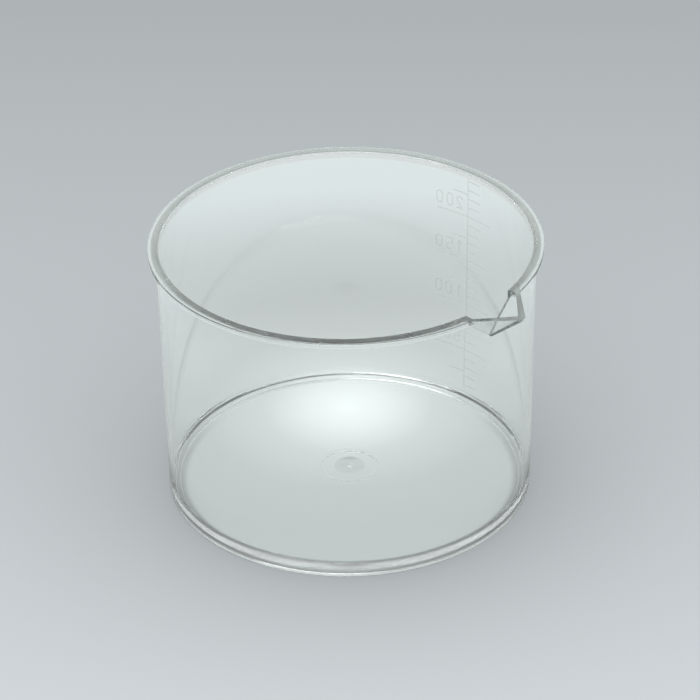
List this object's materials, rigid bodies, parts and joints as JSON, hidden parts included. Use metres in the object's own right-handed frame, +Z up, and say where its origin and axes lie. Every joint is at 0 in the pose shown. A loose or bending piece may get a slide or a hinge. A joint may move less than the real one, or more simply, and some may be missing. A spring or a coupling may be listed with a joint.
{
  "type": "low form beaker",
  "caption": "Clear plastic low form beaker with a flat rim flange, a V-shaped pouring spout, a raised graduation on the wall and a foot ring.",
  "frame": {"origin": "centre of the plane that the foot ring stands on, on the axis of the mouth", "axes": "+Z up along the axis of the mouth, +X towards the pouring spout, +Y towards the graduation"},
  "size_m": [0.0886, 0.082, 0.0574],
  "materials": {
    "clear_body": "clear, polished, faintly green",
    "clear_marks": "clear raised lettering, the same plastic as the body"
  },
  "bodies": {
    "root": {"side_wall": "clear_body", "rim_flange": "clear_body", "spout_cheek_left": "clear_body", "spout_cheek_right": "clear_body", "heel_ring": "clear_body", "foot_ring": "clear_body", "floor_plate": "clear_body", "gate_pad": "clear_body", "gate_nub": "clear_body", "scale_spine": "clear_marks", "tick_010": "clear_marks", "tick_020": "clear_marks", "tick_030": "clear_marks", "tick_040": "clear_marks", "tick_060": "clear_marks", "tick_070": "clear_marks", "tick_080": "clear_marks", "tick_090": "clear_marks", "tick_110": "clear_marks", "tick_120": "clear_marks", "tick_130": "clear_marks", "tick_140": "clear_marks", "tick_160": "clear_marks", "tick_170": "clear_marks", "tick_180": "clear_marks", "tick_190": "clear_marks", "tick_210": "clear_marks", "tick_220": "clear_marks", "tick_230": "clear_marks", "tick_240": "clear_marks", "half_line_025": "clear_marks", "half_line_075": "clear_marks", "half_line_125": "clear_marks", "half_line_175": "clear_marks", "half_line_225": "clear_marks", "full_line_050": "clear_marks", "full_line_100": "clear_marks", "full_line_150": "clear_marks", "full_line_200": "clear_marks", "numeral_050": "clear_marks", "numeral_100": "clear_marks", "numeral_150": "clear_marks", "numeral_200": "clear_marks"}
  },
  "joints": []
}
